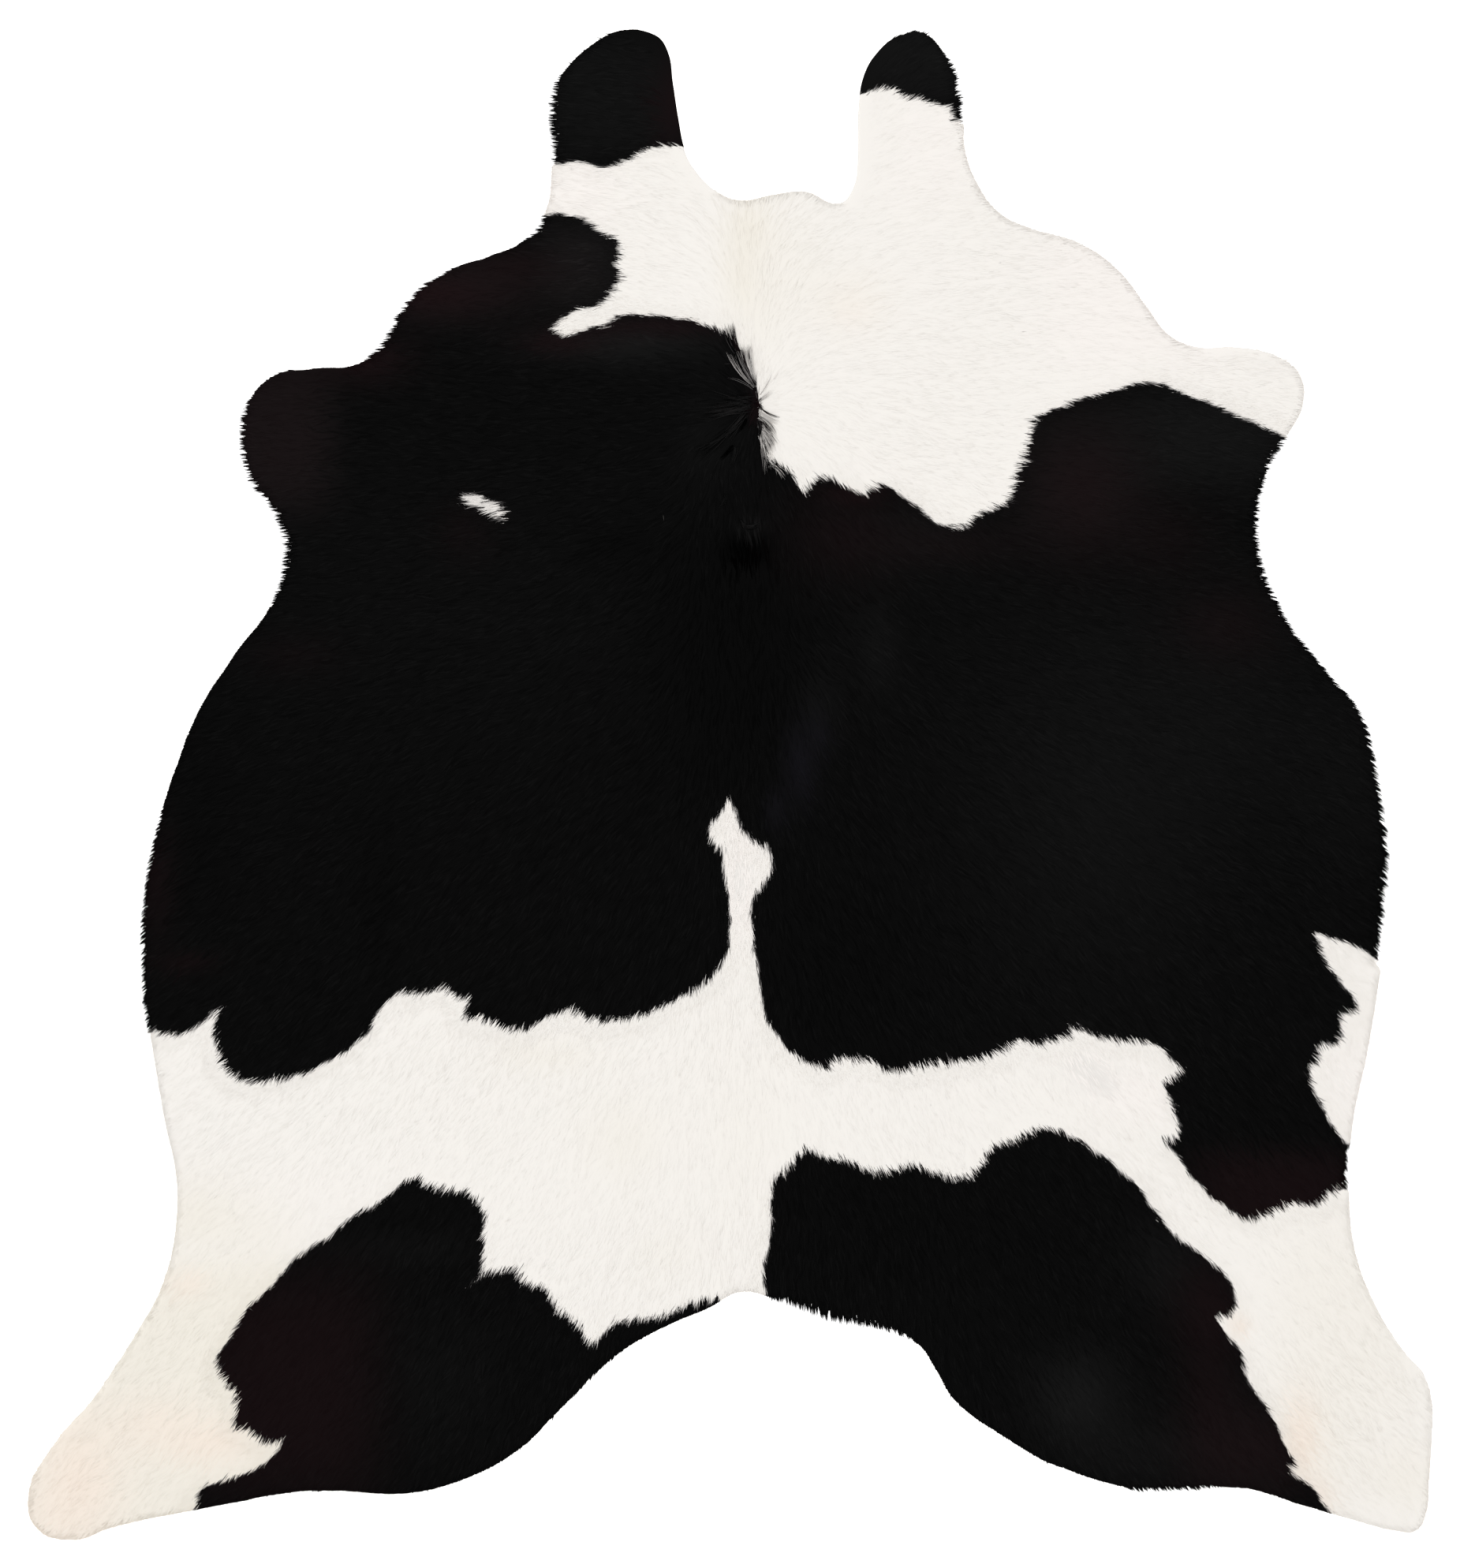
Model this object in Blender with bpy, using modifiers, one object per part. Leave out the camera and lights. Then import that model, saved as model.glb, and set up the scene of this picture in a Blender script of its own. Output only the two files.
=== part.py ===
# Hair-on cowhide rug: one whole tanned hide, lying flat with its hair up.
# X runs across the hide and Y along its spine, with the neck at +Y. The underside is at Z = 0.
import bmesh
import bpy

# Driving dimensions, in metres.
HIDE_LENGTH = 2.100       # from the tips of the hind legs to the tip of the neck
SKIN = 0.0025             # the tanned leather, with a square cut edge
PILE = 0.0025             # the short hair lying flat on the leather, rounding over at the cut edge
ROUNDING_STEPS = 2        # faces across the rounded rim of the pile
STEPS_PER_POINT = 5       # straight stretches between two points of the cut edge

RUG = "cowhide_rug"
HIDE = "hide"
HAIR_COLOUR = (0.006, 0.006, 0.006, 1.0)
HAIR_ROUGHNESS = 0.75
HAIR_METALLIC = 0.0
RIM_WEIGHT = "bevel_weight_edge"
WELD = 0.00001
SHARP_ANGLE = 0.7

# The cut edge, walked clockwise from the neck's left flap, as seen from above.
# Each row is one point: (across, to the right of the middle; along, towards the neck), in millimetres on a
# hide of 2.1 m.
CUT_EDGE = {
    "left neck flap": [
        (-248, 850), (-249, 905), (-249, 948), (-236, 982), (-190, 1029), (-145, 1048),
        (-104, 1039), (-87, 1015), (-80, 972), (-72, 920), (-63, 878),
    ],
    "neck notch": [(-50, 853), (-15, 819), (15, 809), (55, 816), (105, 821), (150, 805)],
    "right neck flap": [
        (169, 825), (176, 880), (177, 940), (185, 984), (202, 1013), (229, 1036), (263, 1045),
        (296, 1018), (316, 970), (324, 920), (325, 882), (346, 826), (374, 791),
    ],
    "right shoulder": [(410, 773), (490, 747), (540, 710), (580, 658), (610, 621), (645, 606)],
    "right foreleg": [(700, 606), (760, 592), (790, 566), (794, 525), (770, 479)],
    "right flank": [
        (744, 428), (731, 350), (736, 295), (770, 230), (850, 131), (878, 85), (900, -5),
        (913, -110), (905, -230), (885, -365), (862, -480), (858, -565), (867, -650),
    ],
    "right hind leg": [
        (894, -722), (936, -789), (960, -816), (973, -860), (973, -905), (969, -965),
        (964, -1015), (951, -1036), (922, -1036), (860, -1020), (780, -997), (700, -977),
        (620, -978), (550, -977), (450, -946), (375, -903),
    ],
    "rump": [
        (311, -855), (284, -811), (262, -779), (225, -760), (145, -745), (65, -716), (15, -705),
        (-30, -727), (-95, -755), (-165, -798),
    ],
    "left hind leg": [
        (-240, -872), (-290, -921), (-360, -961), (-445, -984), (-560, -981), (-650, -991),
        (-740, -1007), (-855, -1031), (-912, -1049), (-961, -1034), (-974, -990), (-937, -914),
        (-886, -855), (-826, -765),
    ],
    "left flank": [
        (-786, -690), (-768, -600), (-770, -535), (-783, -475), (-797, -395), (-815, -260),
        (-811, -135), (-777, 0), (-737, 105), (-690, 177), (-635, 252), (-618, 320),
    ],
    "left foreleg": [(-633, 378), (-667, 422), (-679, 485), (-667, 535), (-629, 570)],
    "left shoulder": [
        (-570, 577), (-520, 581), (-484, 605), (-447, 669), (-410, 702), (-335, 734),
        (-280, 759), (-256, 795),
    ],
}


def remove_everything():
    for thing in list(bpy.data.objects):
        bpy.data.objects.remove(thing)


def edge_points():
    """The rows in metres, centred on the origin and brought to the stated length."""
    rows = [row for stretch in CUT_EDGE.values() for row in stretch]
    across = [row[0] for row in rows]
    along = [row[1] for row in rows]
    middle_across = (min(across) + max(across)) / 2
    middle_along = (min(along) + max(along)) / 2
    scale = HIDE_LENGTH / (max(along) - min(along))
    return [((x - middle_across) * scale, (y - middle_along) * scale, 0.0) for x, y in rows]


def outline_curve(points):
    """The smooth closed cut edge, filled and as thick as leather and pile together."""
    curve = bpy.data.curves.new(HIDE, "CURVE")
    curve.dimensions = "2D"
    curve.fill_mode = "BOTH"
    curve.resolution_u = STEPS_PER_POINT
    curve.extrude = (SKIN + PILE) / 2
    spline = curve.splines.new("BEZIER")
    spline.bezier_points.add(len(points) - 1)
    for place, point in zip(spline.bezier_points, points):
        place.co = point
        place.handle_left_type = "AUTO"
        place.handle_right_type = "AUTO"
    spline.use_cyclic_u = True
    return curve


def slab_mesh(curve):
    """The filled curve as one closed mesh, its two faces whole, its underside at Z = 0."""
    guide = bpy.data.objects.new(HIDE, curve)
    bpy.context.scene.collection.objects.link(guide)
    seen = guide.evaluated_get(bpy.context.evaluated_depsgraph_get())
    mesh = bpy.data.meshes.new_from_object(seen)
    bpy.data.objects.remove(guide)
    bpy.data.curves.remove(curve)
    work = bmesh.new()
    work.from_mesh(mesh)
    bmesh.ops.remove_doubles(work, verts=work.verts, dist=WELD)
    work.normal_update()
    for side in (1, -1):
        bmesh.ops.dissolve_faces(work, faces=[face for face in work.faces if face.normal.z * side > 0.5])
        work.normal_update()
    bmesh.ops.translate(work, verts=work.verts, vec=(0.0, 0.0, (SKIN + PILE) / 2))
    weights = work.edges.layers.float.new(RIM_WEIGHT)
    top = max(work.faces, key=lambda face: face.calc_center_median().z)
    for edge in top.edges:
        edge[weights] = 1.0
    work.to_mesh(mesh)
    work.free()
    mesh.name = HIDE
    return mesh


def round_the_rim(hide):
    bevel = hide.modifiers.new("pile rounding over at the cut edge", "BEVEL")
    bevel.limit_method = "WEIGHT"
    bevel.width = PILE
    bevel.segments = ROUNDING_STEPS
    triangles = hide.modifiers.new("faces cut to triangles", "TRIANGULATE")
    triangles.ngon_method = "BEAUTY"


def hair_material():
    material = bpy.data.materials.new("cowhide hair")
    material.use_nodes = True
    shader = material.node_tree.nodes["Principled BSDF"]
    shader.inputs["Base Color"].default_value = HAIR_COLOUR
    shader.inputs["Roughness"].default_value = HAIR_ROUGHNESS
    shader.inputs["Metallic"].default_value = HAIR_METALLIC
    return material


def build():
    remove_everything()
    rug = bpy.data.collections.new(RUG)
    bpy.context.scene.collection.children.link(rug)
    hide = bpy.data.objects.new(HIDE, slab_mesh(outline_curve(edge_points())))
    hide.data.materials.append(hair_material())
    rug.objects.link(hide)
    round_the_rim(hide)
    hide.data.shade_smooth()
    hide.data.set_sharp_from_angle(angle=SHARP_ANGLE)


build()
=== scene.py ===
import math
from functools import partial
import bmesh
import bpy
import numpy as np
from mathutils.geometry import delaunay_2d_cdt
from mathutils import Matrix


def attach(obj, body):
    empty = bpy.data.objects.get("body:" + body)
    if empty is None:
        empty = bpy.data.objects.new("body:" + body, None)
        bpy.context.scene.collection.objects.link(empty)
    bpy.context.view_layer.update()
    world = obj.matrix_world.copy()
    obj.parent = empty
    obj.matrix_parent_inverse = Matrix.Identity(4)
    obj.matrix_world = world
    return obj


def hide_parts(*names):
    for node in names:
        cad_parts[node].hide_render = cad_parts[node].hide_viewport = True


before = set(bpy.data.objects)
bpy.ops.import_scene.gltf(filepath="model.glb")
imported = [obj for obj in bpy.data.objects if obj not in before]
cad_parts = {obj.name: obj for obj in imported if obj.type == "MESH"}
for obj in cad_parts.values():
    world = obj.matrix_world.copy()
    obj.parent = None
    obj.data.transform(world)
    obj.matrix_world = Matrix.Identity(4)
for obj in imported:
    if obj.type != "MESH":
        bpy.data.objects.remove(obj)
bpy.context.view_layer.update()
print("frame loaded:", sorted(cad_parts))

# everything charted is in millimetres, x to the right and y towards the neck
chart = {"millimetre": 2.1 / 2097, "nudge": 0.5, "lineSteps": 6}


def toMetres(rows):
    return (np.array(rows, float) + chart["nudge"]) * chart["millimetre"]


def linear(red, green, blue):
    # a screen colour from 0 to 255 as the linear colour the shaders want
    parts = [c / 255 for c in (red, green, blue)]
    return tuple(c / 12.92 if c < 0.04045 else ((c + 0.055) / 1.055) ** 2.4 for c in parts) + (1.0,)


def smoothStep(low, high, value):
    t = np.clip((value - low) / (high - low), 0, 1)
    return t * t * (3 - 2 * t)


def smoothLine(points, closed=False):
    # centripetal Catmull-Rom, so uneven spacing never makes a loop
    pts = np.array(points, float)
    if closed:
        pts = np.vstack([pts[-1], pts, pts[0], pts[1]])
    else:
        pts = np.vstack([2 * pts[0] - pts[1], pts, 2 * pts[-1] - pts[-2]])
    made = []
    for a, b, c, d in zip(pts[:-3], pts[1:-2], pts[2:-1], pts[3:]):
        ta = math.dist(a, b) ** 0.5
        tb = ta + math.dist(b, c) ** 0.5
        tc = tb + math.dist(c, d) ** 0.5
        for t in np.linspace(ta, tb, chart["lineSteps"], endpoint=False):
            ab = a + (b - a) * t / ta
            bc = b + (c - b) * (t - ta) / (tb - ta)
            cd = c + (d - c) * (t - tb) / (tc - tb)
            abc = ab + (bc - ab) * t / tb
            bcd = bc + (cd - bc) * (t - ta) / (tc - ta)
            made.append(abc + (bcd - abc) * (t - ta) / (tb - ta))
    if not closed:
        made.append(pts[-2])
    return np.array(made)


def insideLoop(points, loop):
    # even-odd count of the loop's sides to the right of each point
    hit = np.zeros(len(points), bool)
    for (x0, y0), (x1, y1) in zip(loop, np.roll(loop, -1, 0)):
        spans = (points[:, 1] < y0) != (points[:, 1] < y1)
        if spans.any():
            crossing = x0 + (points[:, 1] - y0) * (x1 - x0) / (y1 - y0 + 1e-15)
            hit ^= spans & (points[:, 0] < crossing)
    return hit


def nearestOn(points, starts, ends):
    # distance to the nearest of many short straight stretches, and the way there
    best = np.full(len(points), 1e9)
    way = np.zeros((len(points), 2))
    run = ends - starts
    size = (run ** 2).sum(1) + 1e-15
    for first in range(0, len(points), 1500):
        block = points[first:first + 1500]
        off = block[:, None] - starts[None]
        t = np.clip((off * run).sum(2) / size, 0, 1)
        gap = t[..., None] * run - off
        length = (gap ** 2).sum(2)
        pick = length.argmin(1)
        rows = np.arange(len(block))
        best[first:first + 1500] = np.sqrt(length[rows, pick])
        way[first:first + 1500] = gap[rows, pick]
    return best, way


# ---- the hide's own outline, from the flesh side of the CAD solid
def cutEdge(node):
    copy = bmesh.new()
    copy.from_mesh(node.data)
    bmesh.ops.remove_doubles(copy, verts=copy.verts, dist=0.00001)
    beside = {}
    for edge in copy.edges:
        low = all(v.co.z < 0.0001 for v in edge.verts)
        if low and any(abs(f.normal.z) < 0.5 for f in edge.link_faces):
            a, b = edge.verts
            beside.setdefault(a, []).append(b)
            beside.setdefault(b, []).append(a)
    start = min(beside, key=lambda v: (v.co.y, v.co.x))
    walk, before, here = [start], None, start
    while True:
        ahead = [v for v in beside[here] if v != before]
        before, here = here, ahead[0]
        if here == start:
            break
        walk.append(here)
    loop = np.array([v.co.xy for v in walk])
    copy.free()
    turn = (loop[:, 0] * np.roll(loop[:, 1], -1) - np.roll(loop[:, 0], -1) * loop[:, 1]).sum()
    return loop if turn > 0 else loop[::-1]


def drawnIn(loop, amount):
    ahead = np.roll(loop, -1, 0) - np.roll(loop, 1, 0)
    inward = np.stack([-ahead[:, 1], ahead[:, 0]], 1) / np.linalg.norm(ahead, axis=1)[:, None]
    return loop + inward * np.reshape(amount, (-1, 1))


outline = cutEdge(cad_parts["hide"])
outline = np.stack([outline, (outline + np.roll(outline, -1, 0)) / 2], 1).reshape(-1, 2)
print("cut edge:", len(outline), "points")

# ---- the black patches: edge is what shows on the hide, beyond closes each one outside it
patches = {
    "shoulders and barrel": {
        "edges": [
            [(-256, 790), (-225, 788), (-200, 781), (-178, 765), (-156, 752), (-155, 733), (-160, 715),
             (-154, 700), (-164, 686), (-170, 670), (-200, 659), (-235, 647), (-248, 634), (-240, 623),
             (-210, 627), (-178, 635), (-152, 650), (-100, 649), (-60, 646), (-25, 633), (0, 622),
             (14, 600), (28, 575), (37, 548), (42, 524), (43, 500), (46, 478), (54, 455), (68, 440),
             (84, 436), (92, 417), (106, 402), (117, 416), (135, 425), (160, 414), (182, 400), (210, 415),
             (235, 403), (265, 378), (310, 352), (350, 374), (390, 396), (398, 424), (412, 460),
             (421, 495), (424, 508), (450, 520), (480, 532), (535, 546), (583, 558), (625, 542),
             (668, 528), (700, 511), (742, 496), (770, 479)],
            [(900, -250), (888, -237), (865, -224), (830, -213), (816, -209), (816, -224), (828, -250),
             (850, -280), (868, -302), (869, -316), (846, -322), (848, -345), (840, -364), (821, -361),
             (818, -382), (808, -395), (807, -420), (826, -457), (850, -495), (858, -503)],
            [(857, -560), (832, -571), (812, -586), (785, -582), (760, -594), (718, -605), (690, -590),
             (652, -560), (622, -520), (607, -498), (622, -490), (619, -460), (603, -422), (615, -408),
             (632, -401), (608, -380), (590, -363), (540, -357), (500, -349), (474, -338), (470, -352),
             (428, -362), (408, -358), (378, -374), (345, -384), (280, -392), (225, -402), (205, -391),
             (165, -384), (148, -387), (136, -398), (105, -386), (78, -368), (50, -326), (44, -300),
             (36, -250), (30, -200), (34, -155), (52, -138), (58, -115), (52, -92), (25, -80), (8, -45),
             (0, -22), (-14, -47), (-30, -61), (-25, -80), (-9, -95), (-11, -115), (-3, -160), (0, -205),
             (-7, -245), (-30, -273), (-80, -304), (-130, -326), (-200, -330), (-218, -316), (-245, -322),
             (-298, -345), (-345, -328), (-373, -325), (-363, -305), (-385, -296), (-402, -286),
             (-437, -294), (-462, -293), (-485, -312), (-505, -347), (-560, -387), (-590, -402),
             (-635, -411), (-668, -415), (-700, -399), (-716, -360), (-718, -340), (-711, -313),
             (-738, -336), (-775, -351), (-808, -341)],
        ],
        "beyond": [
            [(790, 470), (1000, 440), (1000, -250)],
            [(1000, -503), (1000, -560)],
            [(-1100, -341), (-1100, 790)],
        ],
    },
    "left hind leg": {
        "edges": [
            [(-742, -1007), (-738, -980), (-712, -970), (-652, -947), (-622, -914), (-655, -914),
             (-665, -900), (-690, -893), (-686, -855), (-702, -830), (-715, -805), (-690, -765),
             (-665, -722), (-638, -700), (-605, -660), (-560, -632), (-520, -599), (-480, -578),
             (-445, -549), (-410, -562), (-370, -568), (-345, -592), (-344, -640), (-345, -675),
             (-365, -696), (-340, -680), (-302, -676), (-290, -692), (-258, -703), (-243, -728),
             (-213, -752), (-191, -782), (-180, -763), (-145, -747), (-85, -738), (-50, -720), (-12, -714)],
        ],
        "beyond": [[(-12, -900), (-400, -1150), (-742, -1150)]],
    },
    "right hind leg": {
        "edges": [
            [(48, -711), (43, -672), (54, -640), (56, -570), (57, -556), (80, -535), (108, -508),
             (135, -521), (165, -525), (195, -540), (228, -539), (250, -530), (280, -540), (325, -548),
             (350, -530), (367, -503), (400, -496), (420, -484), (448, -480), (480, -494), (528, -527),
             (565, -560), (600, -610), (680, -676), (701, -700), (698, -737), (677, -742), (692, -768),
             (710, -790), (718, -825), (757, -888), (783, -950), (771, -953), (800, -972), (836, -1013)],
        ],
        "beyond": [[(836, -1150), (48, -1150)]],
    },
    "left neck cap": {
        "edges": [[(-248, 858), (-225, 862), (-200, 861), (-180, 854), (-140, 865), (-115, 880),
                   (-90, 886), (-63, 879)]],
        "beyond": [[(-40, 879), (-40, 1150), (-400, 1150), (-400, 858)]],
    },
    "right neck cap": {
        "edges": [[(178, 955), (205, 964), (222, 966), (240, 956), (285, 945), (303, 940), (312, 924),
                   (324, 913)]],
        "beyond": [[(420, 913), (420, 1150), (178, 1150)]],
    },
}
whiteSpot = [(-374, 392), (-367, 398), (-359, 402), (-351, 401), (-344, 396), (-333, 390), (-323, 387),
             (-318, 381), (-317, 372), (-319, 363), (-325, 363), (-331, 369), (-338, 377), (-348, 382),
             (-362, 384)]


def patchLines():
    # every stretch of colour edge, and the closed loops that tell black from white
    stretches, loops = [], []
    for patch in patches.values():
        loop = []
        for edge, beyond in zip(patch["edges"], patch["beyond"]):
            line = smoothLine(toMetres(edge))
            stretches.append(line)
            loop += [line, toMetres(beyond)]
        loops.append(np.vstack(loop))
    spot = smoothLine(toMetres(whiteSpot), closed=True)
    stretches.append(np.vstack([spot, spot[:1]]))
    loops.append(spot)
    starts = np.vstack([line[:-1] for line in stretches])
    ends = np.vstack([line[1:] for line in stretches])
    return starts, ends, loops


patchStarts, patchEnds, patchLoops = patchLines()


def blackDepth(points):
    # metres inside the black, negative in the white
    depth, _ = nearestOn(points, patchStarts, patchEnds)
    black = np.zeros(len(points), bool)
    for loop in patchLoops:
        black ^= insideLoop(points, loop)
    return np.where(black, depth, -depth)


# ---- which way the hair lies, read off the hide: 0 is to the right, 90 towards the neck
hairLie = [
    # x, y, degrees
    (30, 900, 90), (30, 760, 90), (30, 640, 90), (30, 430, -90), (30, 300, -90), (25, 150, -90),
    (20, 0, -90), (18, -150, -90), (18, -300, -90), (18, -450, -90), (18, -600, -90), (18, -720, -90),
    (-180, 980, 178), (-150, 880, 176), (-60, 800, 170), (-180, 740, 178), (-60, 670, 168),
    (-200, 640, 190), (-240, 630, 192), (-60, 560, 178), (-200, 560, 176), (-420, 520, 178),
    (-620, 500, 182), (-650, 340, 185), (-150, 400, 190), (-400, 350, 186), (-150, 200, 210),
    (-400, 180, 196), (-620, 200, 190), (-120, 0, 222), (-400, 0, 212), (-700, 0, 205), (-100, -200, 236),
    (-400, -200, 226), (-780, -200, 218), (-120, -400, 240), (-400, -420, 236), (-700, -420, 226),
    (-120, -600, 244), (-350, -620, 238), (-600, -720, 232), (-80, -740, 248), (-760, -880, 228),
    (-860, -1000, 226), (110, 880, 40), (190, 960, 40), (310, 950, 12), (100, 760, 20), (260, 820, 10),
    (400, 720, 2), (110, 620, 10), (330, 560, 0), (600, 580, -5), (740, 560, -6), (90, 470, -35),
    (240, 480, -12), (150, 390, -52), (300, 370, -28), (415, 450, -4), (600, 420, -5), (730, 380, -8),
    (150, 200, -38), (400, 180, -18), (620, 180, -14), (140, 0, -50), (400, 0, -32), (700, 0, -24),
    (120, -200, -58), (400, -200, -44), (850, -150, -38), (120, -400, -62), (400, -420, -54),
    (840, -380, -48), (180, -520, -65), (420, -540, -55), (650, -560, -50), (100, -720, -86),
    (260, -760, -80), (400, -740, -60), (600, -820, -52), (780, -960, -46),
]
lieBlend = {"reach": 0.055, "fall": -2.0}     # how one reading runs into the next: metres, and a power
whorl = {"x": 40, "y": 524, "core": 30, "reach": 105, "pull": 1.6}


def hairWay(points):
    rows = np.array(hairLie, float)
    spots = toMetres(rows[:, :2])
    aims = np.stack([np.cos(np.radians(rows[:, 2])), np.sin(np.radians(rows[:, 2]))], 1)
    way = np.zeros((len(points), 2))
    for spot, aim in zip(spots, aims):
        near = ((points - spot) ** 2).sum(1) + lieBlend["reach"] ** 2
        way += (near ** lieBlend["fall"])[:, None] * aim
    way /= np.linalg.norm(way, axis=1)[:, None] + 1e-12
    out = points - toMetres([(whorl["x"], whorl["y"])])[0]
    far = np.linalg.norm(out, axis=1)
    swirl = 1 - smoothStep(whorl["core"] / 1000, whorl["reach"] / 1000, far)
    way = way * (1 - swirl)[:, None] + out / (far + 1e-9)[:, None] * swirl[:, None] * whorl["pull"]
    return way / (np.linalg.norm(way, axis=1)[:, None] + 1e-12)


# ---- how the rim differs from the solid's outline, stretch by stretch
rimWork = [
    # from x, y, to x, y, leather drawn in, hair past the outline, all in millimetres
    (-640, -990, -597, -984, 2, -2), (-200, -832, -172, -805, 0, 1.2), (80, -722, 118, -735, 10, 2),
    (127, -739, 188, -752, 13, -0.5), (205, -755, 228, -761, 5, 0.5), (470, -955, 515, -970, 2, -2),
    (570, -977, 650, -977, 3.5, 1.5), (720, -980, 748, -987, 2, -2), (858, -552, 860, -512, 9, -2),
    (905, -235, 914, -125, 16, -2), (914, -112, 909, -52, 11, 0.5), (906, -32, 887, 65, 7.5, 1),
    (880, 83, 855, 125, 3, 1.5), (838, 150, 805, 186, 8, -2.5), (797, 196, 773, 228, 7, 0),
    (750, 266, 732, 325, 3.5, 4), (733, 345, 765, 475, 8, 0), (322, 915, 325, 950, 12, 0),
    (318, 962, 312, 990, 5.5, 1), (296, 1020, 250, 1046, 2.5, -2.5), (-66, 890, -87, 1019, -1, 0),
    (-128, 1049, -178, 1038, 2, -3), (-200, 1022, -219, 1005, 2, -2), (-247, 958, -249, 905, 10, 1),
    (-248, 893, -247, 873, 12, -1), (-256, 796, -268, 775, 9, 0.5), (-310, 744, -335, 735, 2.5, -3),
    (-400, 708, -445, 672, 6, 0), (-458, 652, -484, 606, 3.5, 4), (-600, 577, -660, 547, 2, -2),
    (-676, 513, -663, 416, 7, 0), (-645, 393, -630, 372, 5.5, 2), (-622, 355, -618, 300, 10, 1.5),
    (-621, 288, -628, 268, 5, 0.5), (-700, 162, -765, 38, 1.5, -1.5), (-797, -60, -812, -150, 6.5, -0.5),
    (-814, -162, -815, -275, 6, 1), (-813, -292, -808, -338, 3, 2.5),
]
rimReach = {
    "full": 0.006,          # a stretch counts in full this far from its line, and no more at none
    "none": 0.034,
    "colourBlend": 0.004,   # only black hair is treated so, and this much either side of a colour edge
}


def rimChange(points):
    # how far the leather is drawn in, and how far the hair goes past the outline
    leather, hair, share = np.zeros(len(points)), np.zeros(len(points)), np.full(len(points), 1e-6)
    for x0, y0, x1, y1, drawn, past in rimWork:
        gap, _ = nearestOn(points, toMetres([(x0, y0)]), toMetres([(x1, y1)]))
        near = 1 - smoothStep(rimReach["full"], rimReach["none"], gap)
        leather += near * drawn
        hair += near * past
        share += near
    blackShare = smoothStep(-rimReach["colourBlend"], rimReach["colourBlend"], blackDepth(points))
    worn = blackShare / np.maximum(share, 1) / 1000
    return leather * worn, hair * worn
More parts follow.
